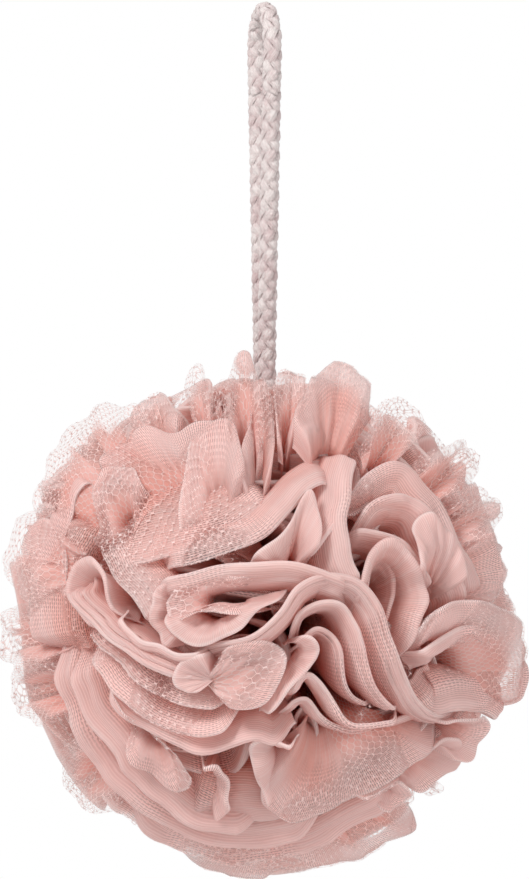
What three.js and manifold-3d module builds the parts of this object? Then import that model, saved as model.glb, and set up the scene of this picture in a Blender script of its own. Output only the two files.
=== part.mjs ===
// A bath pouf of gathered tubular netting, hung by a braided cord loop.
// Millimetres, +Z up. The origin is the top of the loop's inside, where a peg or hook carries it.
// The netting is four gathered sleeves, fanned out on both sides of a waist that a twine tie pinches.
// The cord is doubled: it hangs from the peg as a narrow V and ends in a knot above the tie.

import * as THREE from 'three';
import { mergeVertices } from 'three/addons/utils/BufferGeometryUtils.js';
import Module from 'manifold-3d';

const wasm = await Module();
wasm.setup();

// Driving dimensions
const GAP = 0.3; // between neighbours that touch
const CORD_DIAMETER = 5;
const BEND_RADIUS = 2 * CORD_DIAMETER; // of the cord's centreline round the peg
const LOOP_TURN = THREE.MathUtils.degToRad(78); // of the loop's plane, from the X-Z plane
const BEND_HALF_LENGTH = 22; // of the stretch over the peg, from the loop's top to each end
const SHORT_STRETCH_LENGTH = 11; // of the stretch under it that turns with the loop
const POUF_CENTRE_Z = -155;
const POUF_HALF_LENGTH = 69.5; // along X, the bundle's axis
const POUF_RADIUS = 71; // about X
const SLEEVE_COUNT = 4;
const PLEATS_PER_SLEEVE = 4;
const PLEAT_DEPTH = 0.05; // share of the radius
const CREASE_WIDTH = 5; // between the two fanned-out ends, at the surface
const WAIST_RADIUS = 7;
const WAIST_LENGTH = 3.6;
const TIE_DIAMETER = 2.4;
const KNOT_RADIUS = 6.2;
const CHANNEL_RADIUS = 7.2; // room for the doubled cord and its knot

// Fineness of the facets
const CORD_SIDES = 10;
const TIE_SIDES = 8;
const TIE_STEPS = 32;
const KNOT_STEPS = 16;
const SLEEVE_STEPS = 64; // round the bundle's axis
const FAN_STEPS = 9; // from a fanned-out end's tip to the crease

const BEND_CENTRE_Z = CORD_DIAMETER / 2 - BEND_RADIUS;
const STRAND_OFFSET = (CORD_DIAMETER + GAP) / 2; // from the middle, where the two strands touch
const TIE_RADIUS = WAIST_RADIUS + GAP + TIE_DIAMETER / 2;
const KNOT_Z = POUF_CENTRE_Z + TIE_RADIUS + TIE_DIAMETER / 2 + GAP + KNOT_RADIUS;

// Materials

function fabric(colour, roughness) {
  return new THREE.MeshStandardMaterial({ color: colour, roughness, metalness: 0 });
}

const cottonCord = () => fabric(0xddcfcd, 0.95);
const twine = () => fabric(0xe8d9d2, 0.8);
const netting = () => fabric(0xdba59d, 0.7);

function named(name, geometry, material) {
  const mesh = new THREE.Mesh(geometry, material);
  mesh.name = name;
  return mesh;
}

// Solids for cutting and joining

function solidFrom(geometry) {
  const bare = geometry.clone();
  bare.deleteAttribute('normal');
  bare.deleteAttribute('uv');
  const merged = mergeVertices(bare, 1e-3);
  const vertProperties = new Float32Array(merged.attributes.position.array);
  const triVerts = new Uint32Array(merged.index.array);
  return new wasm.Manifold(new wasm.Mesh({ numProp: 3, vertProperties, triVerts }));
}

function geometryFrom(solid) {
  const mesh = solid.getMesh();
  const geometry = new THREE.BufferGeometry();
  geometry.setAttribute('position', new THREE.BufferAttribute(mesh.vertProperties, 3));
  geometry.setIndex(new THREE.BufferAttribute(mesh.triVerts, 1));
  return geometry;
}

// The cord

// The loop's half, from its top down to the knot: [distance from the middle, height].
// It leaves the peg at a slant, so the two sides meet at the netting and run down touching.
const HALF_ROUTE = [
  [0, CORD_DIAMETER / 2],
  [3.8, 1.75],
  [7.1, -0.45],
  [9.25, -3.7],
  [10, BEND_CENTRE_Z],
  [9.6, -13],
  [8.6, -23],
  [7.2, -37],
  [5.7, -53],
  [4.2, -69],
  [3.1, -82],
  [STRAND_OFFSET, -93],
  [STRAND_OFFSET, -106],
  [STRAND_OFFSET, -120],
  [STRAND_OFFSET, KNOT_Z + KNOT_RADIUS + GAP],
];

// A point of the route on the loop's front (1) or back (-1) side
function routePoint([offset, height], side) {
  const x = side * offset * Math.cos(LOOP_TURN);
  const y = -side * offset * Math.sin(LOOP_TURN);
  return new THREE.Vector3(x, y, height);
}

// The whole loop as one curve, from the back strand's end at the knot to the front strand's
function loopCurve() {
  const back = HALF_ROUTE.slice(1).reverse().map((point) => routePoint(point, -1));
  const front = HALF_ROUTE.map((point) => routePoint(point, 1));
  const curve = new THREE.CatmullRomCurve3([...back, ...front], false, 'centripetal');
  curve.arcLengthDivisions = 2000;
  curve.updateArcLengths();
  return curve;
}

function circleShape(radius, sides) {
  const shape = new THREE.Shape();
  for (let i = 0; i < sides; i += 1) {
    const angle = (2 * Math.PI * i) / sides;
    const x = radius * Math.cos(angle);
    const y = radius * Math.sin(angle);
    if (i === 0) shape.moveTo(x, y);
    else shape.lineTo(x, y);
  }
  shape.closePath();
  return shape;
}

// The stretch of the loop between two distances along it
function cordStretch(curve, from, to, steps) {
  const length = curve.getLength();
  const points = [];
  for (let i = 0; i <= steps; i += 1) {
    const distance = from + ((to - from) * i) / steps;
    points.push(curve.getPointAt(THREE.MathUtils.clamp(distance / length, 0, 1)));
  }
  const extrudePath = new THREE.CatmullRomCurve3(points, false, 'centripetal');
  const section = circleShape(CORD_DIAMETER / 2, CORD_SIDES);
  return new THREE.ExtrudeGeometry(section, { steps, extrudePath, bevelEnabled: false });
}

function cordMeshes() {
  const curve = loopCurve();
  const length = curve.getLength();
  const top = length / 2;
  const bend = BEND_HALF_LENGTH;
  const upper = bend + GAP;
  const lower = upper + SHORT_STRETCH_LENGTH;
  const strand = lower + GAP;
  const stretch = (name, from, to, steps) =>
    named(name, cordStretch(curve, from, to, steps), cottonCord());
  return [
    stretch('cord_bend', top - bend, top + bend, 14),
    stretch('cord_front_upper', top + upper, top + lower, 2),
    stretch('cord_back_upper', top - lower, top - upper, 2),
    stretch('cord_front_strand', top + strand, length, 12),
    stretch('cord_back_strand', 0, top - strand, 12),
  ];
}

// The knot that the two strands end in, as a round lump
function cordKnot() {
  const profile = [];
  for (let i = 0; i <= KNOT_STEPS / 2; i += 1) {
    const angle = (2 * Math.PI * i) / KNOT_STEPS;
    const radius = i === KNOT_STEPS / 2 ? 0 : KNOT_RADIUS * Math.sin(angle);
    profile.push(new THREE.Vector2(radius, -KNOT_RADIUS * Math.cos(angle)));
  }
  const geometry = new THREE.LatheGeometry(profile, KNOT_STEPS);
  geometry.rotateX(Math.PI / 2);
  geometry.translate(0, 0, KNOT_Z);
  return named('cord_knot', geometry, cottonCord());
}

// The twine ring that pinches the netting's waist, in the Y-Z plane
function waistTie() {
  const geometry = new THREE.TorusGeometry(TIE_RADIUS, TIE_DIAMETER / 2, TIE_SIDES, TIE_STEPS);
  geometry.rotateY(Math.PI / 2);
  geometry.translate(0, 0, POUF_CENTRE_Z);
  return named('waist_tie', geometry, twine());
}

// The netting

// The two fanned-out ends and the waist between them, turned about X, with pleats round them
function bundleGeometry() {
  const fan = [];
  const creaseAngle = Math.acos(CREASE_WIDTH / 2 / POUF_HALF_LENGTH);
  for (let i = 0; i <= FAN_STEPS; i += 1) {
    const angle = (creaseAngle * i) / FAN_STEPS;
    fan.push([POUF_RADIUS * Math.sin(angle), POUF_HALF_LENGTH * Math.cos(angle)]);
  }
  fan.push([WAIST_RADIUS, WAIST_LENGTH / 2]);
  const lowEnd = fan.map(([radius, along]) => new THREE.Vector2(radius, -along));
  const highEnd = fan.map(([radius, along]) => new THREE.Vector2(radius, along)).reverse();
  const geometry = new THREE.LatheGeometry([...lowEnd, ...highEnd], SLEEVE_STEPS);

  const pleats = SLEEVE_COUNT * PLEATS_PER_SLEEVE;
  const position = geometry.attributes.position;
  for (let i = 0; i < position.count; i += 1) {
    const x = position.getX(i);
    const z = position.getZ(i);
    const outward = Math.hypot(x, z) / POUF_RADIUS;
    const wave = 0.5 - 0.5 * Math.cos(pleats * Math.atan2(z, x));
    const scale = 1 - PLEAT_DEPTH * wave * outward;
    position.setXYZ(i, x * scale, position.getY(i), z * scale);
  }
  geometry.rotateZ(-Math.PI / 2);
  geometry.translate(0, 0, POUF_CENTRE_Z);
  return geometry;
}

// The wedge of space round X that one sleeve may fill, set back from its neighbours
function wedgeGeometry(index) {
  const halfAngle = Math.PI / SLEEVE_COUNT;
  const middle = (2 * index + 1) * halfAngle;
  const reach = 3 * POUF_RADIUS;
  const setBack = GAP / 2 / Math.sin(halfAngle);
  const shape = new THREE.Shape();
  shape.moveTo(0, 0);
  shape.lineTo(reach * Math.cos(middle - halfAngle), reach * Math.sin(middle - halfAngle));
  shape.lineTo(reach * Math.cos(middle + halfAngle), reach * Math.sin(middle + halfAngle));
  shape.closePath();
  const depth = 3 * POUF_HALF_LENGTH;
  const geometry = new THREE.ExtrudeGeometry(shape, { depth, bevelEnabled: false });
  geometry.translate(setBack * Math.cos(middle), setBack * Math.sin(middle), -depth / 2);
  geometry.rotateY(Math.PI / 2);
  geometry.translate(0, 0, POUF_CENTRE_Z);
  return geometry;
}

// The way down from the neck to the knot, kept clear of netting
function channelGeometry() {
  const low = KNOT_Z - KNOT_RADIUS - GAP / 2;
  const high = POUF_CENTRE_Z + 1.5 * POUF_RADIUS;
  const geometry = new THREE.CylinderGeometry(
    CHANNEL_RADIUS,
    CHANNEL_RADIUS,
    high - low,
    2 * CORD_SIDES,
  );
  geometry.rotateX(Math.PI / 2);
  geometry.translate(0, 0, (low + high) / 2);
  return geometry;
}

function sleeveMeshes() {
  const bundle = solidFrom(bundleGeometry());
  const channel = solidFrom(channelGeometry());
  const open = bundle.subtract(channel);
  const meshes = [];
  for (let index = 0; index < SLEEVE_COUNT; index += 1) {
    const sleeve = open.intersect(solidFrom(wedgeGeometry(index)));
    meshes.push(named(`netting_sleeve_${index + 1}`, geometryFrom(sleeve), netting()));
  }
  return meshes;
}

const pouf = new THREE.Group();
pouf.name = 'bath_pouf';
pouf.add(...cordMeshes(), cordKnot(), waistTie(), ...sleeveMeshes());

export default pouf;
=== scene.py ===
# A bath pouf: gathered netting on a braided cord loop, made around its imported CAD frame.
import math

import bpy
import mathutils
import numpy as np
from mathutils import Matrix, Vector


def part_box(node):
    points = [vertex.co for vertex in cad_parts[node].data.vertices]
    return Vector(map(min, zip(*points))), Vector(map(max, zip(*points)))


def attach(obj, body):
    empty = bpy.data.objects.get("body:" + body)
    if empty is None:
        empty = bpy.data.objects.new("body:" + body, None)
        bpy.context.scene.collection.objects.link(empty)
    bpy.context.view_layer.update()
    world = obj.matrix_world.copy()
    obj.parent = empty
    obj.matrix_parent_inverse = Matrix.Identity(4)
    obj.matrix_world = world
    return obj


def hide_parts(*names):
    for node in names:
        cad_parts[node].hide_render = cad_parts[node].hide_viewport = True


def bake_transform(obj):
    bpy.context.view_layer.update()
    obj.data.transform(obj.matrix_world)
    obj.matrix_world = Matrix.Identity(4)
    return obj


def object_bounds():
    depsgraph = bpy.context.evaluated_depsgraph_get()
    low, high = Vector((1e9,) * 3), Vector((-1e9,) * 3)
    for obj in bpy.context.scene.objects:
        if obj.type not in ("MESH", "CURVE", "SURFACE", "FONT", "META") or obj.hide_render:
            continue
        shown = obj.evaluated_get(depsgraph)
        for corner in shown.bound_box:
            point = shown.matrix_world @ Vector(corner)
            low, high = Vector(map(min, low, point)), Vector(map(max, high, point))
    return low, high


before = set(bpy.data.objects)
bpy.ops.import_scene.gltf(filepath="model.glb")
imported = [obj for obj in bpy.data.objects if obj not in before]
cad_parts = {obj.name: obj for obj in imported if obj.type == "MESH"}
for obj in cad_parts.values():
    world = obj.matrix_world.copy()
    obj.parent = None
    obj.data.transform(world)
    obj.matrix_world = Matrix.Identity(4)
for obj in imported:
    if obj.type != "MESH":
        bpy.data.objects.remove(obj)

CAD_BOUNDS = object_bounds()
SLEEVES = [f"netting_sleeve_{i}" for i in (1, 2, 3, 4)]
MM = 0.001


def joined_box(nodes):
    corners = [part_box(node) for node in nodes]
    low = np.min([c[0] for c in corners], axis=0)
    high = np.max([c[1] for c in corners], axis=0)
    return low, high


LOW, HIGH = joined_box(SLEEVES)
CENTRE = (LOW + HIGH) / 2
RADIUS = float((HIGH - LOW)[2]) / 2


# -------- camera

def make_camera():
    """Level with the middle of the whole object, far off, so that it fills the view's height."""
    low, high = (np.array(c) for c in CAD_BOUNDS)
    height = float(high[2] - low[2])
    distance = 1.6
    margin = 1.004
    data = bpy.data.cameras.new("camera")
    data.lens = data.sensor_width * distance / (height * margin)
    data.clip_end = 50
    camera = bpy.data.objects.new("camera", data)
    camera.location = (0, -distance, float(low[2] + high[2]) / 2)
    camera.rotation_euler = (math.pi / 2, 0, 0)
    bpy.context.collection.objects.link(camera)
    bpy.context.scene.camera = camera


make_camera()


# -------- meshes

def new_object(name, points, faces, smooth=True):
    mesh = bpy.data.meshes.new(name)
    mesh.from_pydata(np.asarray(points, dtype=float).tolist(), [], faces)
    mesh.validate()
    mesh.update()
    if smooth:
        mesh.shade_smooth()
    obj = bpy.data.objects.new(name, mesh)
    bpy.context.collection.objects.link(obj)
    return obj


def grid_faces(rows, columns, wrap_columns=False, offset=0):
    """Quads of a grid of points stored row by row."""
    last = columns if wrap_columns else columns - 1
    i, j = np.meshgrid(np.arange(rows - 1), np.arange(last), indexing="ij")
    k = (j + 1) % columns
    quads = np.stack([i * columns + j, i * columns + k, (i + 1) * columns + k, (i + 1) * columns + j], -1)
    return (quads.reshape(-1, 4) + offset).tolist()


def set_map(obj, name, values):
    """A UV map from one pair of numbers for each vertex."""
    mesh = obj.data
    corners = np.empty(len(mesh.loops), dtype=np.int32)
    mesh.loops.foreach_get("vertex_index", corners)
    layer = mesh.uv_layers.new(name=name)
    layer.data.foreach_set("uv", values[corners].astype(np.float32).reshape(-1))


def set_values(obj, name, values):
    """A number for each vertex, for the materials to read."""
    attribute = obj.data.attributes.new(name, "FLOAT", "POINT")
    attribute.data.foreach_set("value", values.astype(np.float32))


def smoothstep(x, low=0.0, high=1.0):
    t = np.clip((x - low) / (high - low), 0, 1)
    return t * t * (3 - 2 * t)


def unit(v):
    return v / np.linalg.norm(v, axis=-1, keepdims=True)


# -------- node materials

class Nodes:
    """Short calls for building a node tree."""

    def __init__(self, tree):
        self.tree = tree

    def add(self, kind, **settings):
        node = self.tree.nodes.new(kind)
        for key, value in settings.items():
            setattr(node, key, value)
        return node

    def put(self, socket, value):
        if isinstance(value, bpy.types.NodeSocket):
            self.tree.links.new(value, socket)
        else:
            socket.default_value = value

    def math(self, operation, a, b=0.0, c=0.0, clamp=False):
        node = self.add("ShaderNodeMath", operation=operation, use_clamp=clamp)
        for socket, value in zip(node.inputs, (a, b, c)):
            self.put(socket, value)
        return node.outputs[0]

    def ramp(self, value, low, high, start=0.0, end=1.0, smooth=True):
        kind = "SMOOTHSTEP" if smooth else "LINEAR"
        node = self.add("ShaderNodeMapRange", interpolation_type=kind)
        for socket, number in zip(node.inputs, (value, low, high, start, end)):
            self.put(socket, number)
        return node.outputs[0]

    def mix(self, factor, a, b):
        node = self.add("ShaderNodeMix", data_type="RGBA")
        self.put(node.inputs[0], factor)
        self.put(node.inputs[6], a)
        self.put(node.inputs[7], b)
        return node.outputs[2]

    def blend(self, factor, a, b):
        node = self.add("ShaderNodeMix", data_type="FLOAT")
        for socket, value in zip((node.inputs[0], node.inputs[2], node.inputs[3]), (factor, a, b)):
            self.put(socket, value)
        return node.outputs[0]

    def mix_shaders(self, factor, a, b):
        node = self.add("ShaderNodeMixShader")
        for socket, value in zip(node.inputs, (factor, a, b)):
            self.put(socket, value)
        return node.outputs[0]

    def scaled(self, vector, by):
        node = self.add("ShaderNodeVectorMath", operation="MULTIPLY")
        self.put(node.inputs[0], vector)
        node.inputs[1].default_value = by
        return node.outputs[0]

    def attribute(self, name):
        return self.add("ShaderNodeAttribute", attribute_name=name).outputs["Fac"]

    def noise(self, vector, scale, detail=2.0, roughness=0.5):
        node = self.add("ShaderNodeTexNoise")
        self.put(node.inputs["Vector"], vector)
        node.inputs["Scale"].default_value = scale
        node.inputs["Detail"].default_value = detail
        node.inputs["Roughness"].default_value = roughness
        return node.outputs["Fac"]


def new_material(name):
    material = bpy.data.materials.new(name)
    material.use_nodes = True
    nodes = Nodes(material.node_tree)
    shader = material.node_tree.nodes["Principled BSDF"]
    return material, nodes, shader


NET_CELL_WIDTH = 1.9 * MM
NET_CELL_HEIGHT = 2.6 * MM
NET_THREAD = 0.28 * MM
NET_WANDER = 2.6 * MM  # how far the threads of open cells stray from their rows
NET_RIB = 0.62 * MM  # from thread to thread where the cells are closed
NET_LINK = 2.4 * MM  # from link to link along a closed thread
NET_HIGHLIGHT = (0.97, 0.85, 0.825, 1)
NET_TRANSLUCENCY = 0.48
STREAKS = (1500, 60, 0)  # bunched threads to the metre, across and along them
FIBRES = (900, 9000, 1)  # cotton fibres to the metre, along and across them


def net_material(name, colour, deep):
    """Knitted netting. Its map is in metres of cloth, along the tube (U) and across it (V)."""
    material, n, shader = new_material(name)
    cloth = n.add("ShaderNodeUVMap", uv_map="cloth").outputs[0]
    wander = n.add("ShaderNodeTexNoise")
    n.put(wander.inputs["Vector"], n.add("ShaderNodeTexCoord").outputs["Object"])
    wander.inputs["Scale"].default_value = 170
    wander.inputs["Detail"].default_value = 1.0
    shifted = n.add("ShaderNodeVectorMath", operation="MULTIPLY_ADD")
    n.put(shifted.inputs[0], wander.outputs["Color"])
    shifted.inputs[1].default_value = (NET_WANDER, NET_WANDER, 0)
    n.put(shifted.inputs[2], cloth)
    split = n.add("ShaderNodeSeparateXYZ")
    n.put(split.inputs[0], shifted.outputs[0])
    along, across = split.outputs[0], split.outputs[1]
    straight = n.add("ShaderNodeSeparateXYZ")
    n.put(straight.inputs[0], cloth)
    stretch = n.attribute("stretch")
    openness = n.attribute("openness")
    tone_and_painted_shade = n.attribute("tone_and_painted_shade")

    # open cells: mirrored zigzag threads that meet in turn on each side
    column = n.math("DIVIDE", along, NET_CELL_WIDTH)
    row = n.math("PINGPONG", n.math("DIVIDE", across, NET_CELL_HEIGHT), 0.5)
    swing = n.math("SUBTRACT", n.ramp(row, 0.09, 0.41), 0.5)
    odd = n.math("MODULO", n.math("FLOOR", column), 2.0)
    mirrored = n.math("SUBTRACT", n.math("MULTIPLY", odd, 2.0), 1.0)
    thread_at = n.math("MULTIPLY", n.math("MULTIPLY", swing, mirrored), 0.94)
    inside = n.math("SUBTRACT", n.math("FRACT", column), 0.5)
    apart = n.math("ABSOLUTE", n.math("SUBTRACT", inside, thread_at))
    apart = n.math("MULTIPLY", n.math("MULTIPLY", apart, NET_CELL_WIDTH), stretch)
    open_net = n.ramp(apart, NET_THREAD * 0.35, NET_THREAD * 0.75, 1.0, 0.0)

    # closed cells: threads side by side, with a short link between them now and then
    fine = n.math("DIVIDE", straight.outputs[0], NET_RIB)
    ribs = n.ramp(n.math("PINGPONG", fine, 0.5), 0.14, 0.36, 1.0, 0.0)
    shift = n.math("MULTIPLY", n.math("MODULO", n.math("FLOOR", n.math("ADD", fine, 0.5)), 2.0), 0.5)
    link = n.math("PINGPONG", n.math("ADD", n.math("DIVIDE", straight.outputs[1], NET_LINK), shift), 0.5)
    linked = n.blend(n.ramp(openness, 0.2, 0.4), 1.0, n.ramp(link, 0.08, 0.16))
    gap = n.math("MULTIPLY", n.math("SUBTRACT", 1.0, ribs), linked)
    closed_net = n.math("SUBTRACT", 1.0, gap)

    is_open = n.ramp(openness, 0.52, 0.64)
    slit = n.ramp(openness, 0.2, 0.52, 0.90, 0.30, smooth=False)
    closed_alpha = n.blend(closed_net, slit, 1.0)
    open_alpha = n.ramp(open_net, 0.0, 0.9, 0.04, 1.0, smooth=False)
    crowded = n.ramp(stretch, 0.45, 0.8, 1.0, 0.0)
    alpha = n.math("MAXIMUM", n.blend(is_open, closed_alpha, open_alpha), crowded)

    # painted shade: the colour turns towards the darker red deep colour where the tone attribute is high,
    # deep in the ball and in its folds
    base = n.mix(tone_and_painted_shade, colour, deep)
    threads = n.blend(is_open, n.math("MULTIPLY", closed_net, 0.22), n.math("MULTIPLY", open_net, 0.55))
    bunched = n.ramp(n.noise(n.scaled(cloth, STREAKS), 1.0, 2.0), 0.42, 0.72, 0.0, 0.32)
    # painted highlight: the threads, their bunched streaks and the rims are mixed towards the pale highlight
    # colour
    pale = n.math("MAXIMUM", n.math("ADD", threads, bunched), n.math("MULTIPLY", n.attribute("edge"), 0.8))
    lit = n.mix(pale, base, NET_HIGHLIGHT)
    n.put(shader.inputs["Base Color"], lit)
    shader.inputs["Roughness"].default_value = 0.45
    shader.inputs["Specular IOR Level"].default_value = 0.3
    shader.inputs["Sheen Weight"].default_value = 0.2
    shader.inputs["Sheen Roughness"].default_value = 0.4
    bump = n.add("ShaderNodeBump")
    bump.inputs["Strength"].default_value = 0.5
    bump.inputs["Distance"].default_value = 0.0004
    rib_height = n.math("ADD", n.math("MULTIPLY", closed_net, 0.35), n.math("MULTIPLY", bunched, 1.6))
    n.put(bump.inputs["Height"], n.blend(is_open, rib_height, open_net))
    n.put(shader.inputs["Normal"], bump.outputs[0])

    glow = n.add("ShaderNodeBsdfTranslucent")
    n.put(glow.inputs["Color"], lit)
    thread = n.mix_shaders(NET_TRANSLUCENCY, shader.outputs[0], glow.outputs[0])
    holes = n.add("ShaderNodeBsdfTransparent")
    seen = n.mix_shaders(alpha, holes.outputs[0], thread)
    n.put(material.node_tree.nodes["Material Output"].inputs["Surface"], seen)
    return material


# -------- cord

CORD_DIAMETER = 5 * MM
LOOP_TURN = math.radians(78)
STRAND_OFFSET = 2.65 * MM
# the loop's half, from its top down to the knot: distance from the middle, height
HALF_ROUTE = [
    (0, 0.0025),
    (0.0038, 0.00175),
    (0.0071, -0.00045),
    (0.00925, -0.0037),
    (0.010, -0.0075),
    (0.0096, -0.013),
    (0.0086, -0.023),
    (0.0072, -0.037),
    (0.0057, -0.053),
    (0.0042, -0.069),
    (0.0031, -0.082),
    (STRAND_OFFSET, -0.093),
    (STRAND_OFFSET, -0.106),
    (STRAND_OFFSET, -0.120),
    (STRAND_OFFSET, -0.1323),
]
BEND_HALF_LENGTH = 27.8 * MM  # from the loop's top to each seam with a strand
BRAID_PITCH = 21 * MM
BRAID_PLAITS = 4  # each way round
PLAIT_GIRTH = 6 * MM
CORD_COTTON_LIGHT = (0.82, 0.755, 0.73, 1)
# the pinker cotton, also used for the painted shade in the grooves
CORD_PINK_AND_SHADE = (0.56, 0.38, 0.38, 1)


def route_point(offset, height, side):
    return (side * offset * math.cos(LOOP_TURN), -side * offset * math.sin(LOOP_TURN), height)


def smooth_path(points, step):
    """A centripetal curve through the points, at even steps."""
    p = np.array(points, float)
    p = np.concatenate([[2 * p[0] - p[1]], p, [2 * p[-1] - p[-2]]])
    out = []
    for a, b, c, d in zip(p, p[1:], p[2:], p[3:]):
        t0 = 0.0
        t1 = t0 + np.linalg.norm(b - a) ** 0.5
        t2 = t1 + np.linalg.norm(c - b) ** 0.5
        t3 = t2 + np.linalg.norm(d - c) ** 0.5
        t = np.linspace(t1, t2, 40, endpoint=False)[:, None]
        a1 = (t1 - t) / (t1 - t0) * a + (t - t0) / (t1 - t0) * b
        a2 = (t2 - t) / (t2 - t1) * b + (t - t1) / (t2 - t1) * c
        a3 = (t3 - t) / (t3 - t2) * c + (t - t2) / (t3 - t2) * d
        b1 = (t2 - t) / (t2 - t0) * a1 + (t - t0) / (t2 - t0) * a2
        b2 = (t3 - t) / (t3 - t1) * a2 + (t - t1) / (t3 - t1) * a3
        out.append((t2 - t) / (t2 - t1) * b1 + (t - t1) / (t2 - t1) * b2)
    line = np.concatenate(out + [p[-2:-1]])
    length = np.concatenate([[0], np.cumsum(np.linalg.norm(np.diff(line, axis=0), axis=1))])
    at = np.linspace(0, length[-1], max(2, round(length[-1] / step)) + 1)
    return np.stack([np.interp(at, length, line[:, i]) for i in range(3)], -1), at


def frames_along(line, first):
    """Two directions square to the line at each of its points, carried along without twist."""
    tangent = unit(np.gradient(line, axis=0))
    side = np.empty_like(line)
    current = np.array(first, float)
    for i, t in enumerate(tangent):
        current = current - t * current.dot(t)
        current = current / np.linalg.norm(current)
        side[i] = current
    return side, np.cross(tangent, side)


def braided_mesh(name, line, at, frames, diameter, pitch, plaits, material):
    """Plaits that wind both ways round the line and pass over and under each other in turn."""
    side, other = frames
    scale = diameter / CORD_DIAMETER
    middle = 1.42 * MM * scale
    wave = 0.44 * MM * scale
    half_wide = 1.24 * MM * scale
    half_thick = 0.72 * MM * scale
    around = np.linspace(0, 2 * math.pi, 24, endpoint=False)
    yarns = 1 + 0.10 * np.cos(7 * around)
    omega = 2 * math.pi / pitch
    points, faces, uv, tone_and_painted_shade = [], [], [], []
    count = 0
    rng = np.random.default_rng(3)
    for way in (1, -1):
        for k in range(plaits):
            step = 2 * math.pi / plaits
            angle = k * step + (0 if way > 0 else step / 2) + way * omega * at
            crossing = (2 * omega * at + way * k * step - step / 2) / step
            radius = middle + way * wave * np.cos(math.pi * (crossing + k))
            out = np.cos(angle)[:, None] * side + np.sin(angle)[:, None] * other
            centre = line + out * radius[:, None]
            along = unit(np.gradient(centre, axis=0))
            across = unit(np.cross(along, out))
            up = np.cross(across, along)
            swell = 1 + 0.06 * np.sin(at / (0.0031 * scale) + 2.1 * k + way)
            x = half_wide * np.cos(around) * yarns
            y = half_thick * np.sin(around) * yarns
            ring = centre[:, None] + across[:, None] * (x[None, :] * swell[:, None])[..., None]
            ring = ring + up[:, None] * (y[None, :] * swell[:, None])[..., None]
            points.append(ring.reshape(-1, 3))
            n, m = len(at), len(around)
            faces += grid_faces(n, m, True, count)
            faces.append(list(range(count, count + m))[::-1])
            faces.append(list(range(count + (n - 1) * m, count + n * m)))
            girth = around / (2 * math.pi) * PLAIT_GIRTH * scale
            u, v = np.meshgrid(at + 0.37 * k, girth + 0.011 * k, indexing="ij")
            uv.append(np.stack([u, v], -1).reshape(-1, 2))
            # painted shade: darker and pinker where a plait passes under another and on its side towards the
            # cord's middle; the random share per plait is the cotton's own tone
            under = 0.5 - 0.5 * way * np.cos(math.pi * (crossing + k))
            hollow = 0.5 - 0.5 * np.sin(around)
            shade = 0.35 * rng.uniform(0, 1) + 0.35 * under[:, None] + 0.45 * hollow[None, :]
            tone_and_painted_shade.append(shade.reshape(-1))
            count += n * m
    obj = new_object(name, np.concatenate(points), faces)
    set_map(obj, "yarn", np.concatenate(uv))
    set_values(obj, "tone_and_painted_shade", np.concatenate(tone_and_painted_shade))
    obj.data.materials.append(material)
    return obj


def cotton_material(name, light, deep):
    """Soft-spun cotton: fine yarns along each plait, with painted shade that makes it pinker and darker in
    the grooves.
    """
    material, n, shader = new_material(name)
    uv = n.add("ShaderNodeUVMap", uv_map="yarn").outputs[0]
    fibres = n.noise(n.scaled(uv, FIBRES), 1.0, 2.0, 0.6)
    place = n.add("ShaderNodeTexCoord").outputs["Object"]
    patches = n.noise(place, 160.0, 2.0)
    tone_and_painted_shade = n.math("MULTIPLY", n.ramp(patches, 0.35, 0.7), 0.35)
    # painted shade from the plaits' crossings and grooves
    tone_and_painted_shade = n.math("ADD", tone_and_painted_shade, n.math("MULTIPLY", n.attribute("tone_and_painted_shade"), 0.7))
    tone_and_painted_shade = n.math("ADD", tone_and_painted_shade, n.ramp(fibres, 0.62, 0.35, -0.15, 0.4), clamp=True)
    n.put(shader.inputs["Base Color"], n.mix(tone_and_painted_shade, light, deep))
    shader.inputs["Roughness"].default_value = 0.9
    shader.inputs["Specular IOR Level"].default_value = 0.15
    shader.inputs["Sheen Weight"].default_value = 0.35
    shader.inputs["Sheen Roughness"].default_value = 0.6
    bump = n.add("ShaderNodeBump")
    bump.inputs["Strength"].default_value = 0.9
    bump.inputs["Distance"].default_value = 0.0005
    n.put(bump.inputs["Height"], fibres)
    n.put(shader.inputs["Normal"], bump.outputs[0])
    return material


def make_cord():
    """The doubled cord: the bend over the peg, and a strand on each side down to the knot."""
    back = [route_point(o, h, -1) for o, h in HALF_ROUTE[1:]][::-1]
    front = [route_point(o, h, 1) for o, h in HALF_ROUTE]
    line, at = smooth_path(back + front, 0.55 * MM)
    frames = frames_along(line, (1, 0, 0))
    top = at[-1] / 2
    cotton = cotton_material("braided_cotton", CORD_COTTON_LIGHT, CORD_PINK_AND_SHADE)
    stretches = [
        ("cord_back_braid", 0.0, top - BEND_HALF_LENGTH, ["cord_back_strand"]),
        ("cord_bend_braid", top - BEND_HALF_LENGTH, top + BEND_HALF_LENGTH,
         ["cord_bend", "cord_front_upper", "cord_back_upper"]),
        ("cord_front_braid", top + BEND_HALF_LENGTH, at[-1], ["cord_front_strand"]),
    ]
    for name, start, end, nodes in stretches:
        inside = slice(np.searchsorted(at, start), np.searchsorted(at, end) + 1)
        part = braided_mesh(name, line[inside], at[inside], [f[inside] for f in frames],
                            CORD_DIAMETER, BRAID_PITCH, BRAID_PLAITS, cotton)
        path = line[inside]
        if name == "cord_bend_braid":
            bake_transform(part)
        else:
            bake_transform(part)
        if name == "cord_front_braid":
            path = path[::-1]
        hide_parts(*nodes)


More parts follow.
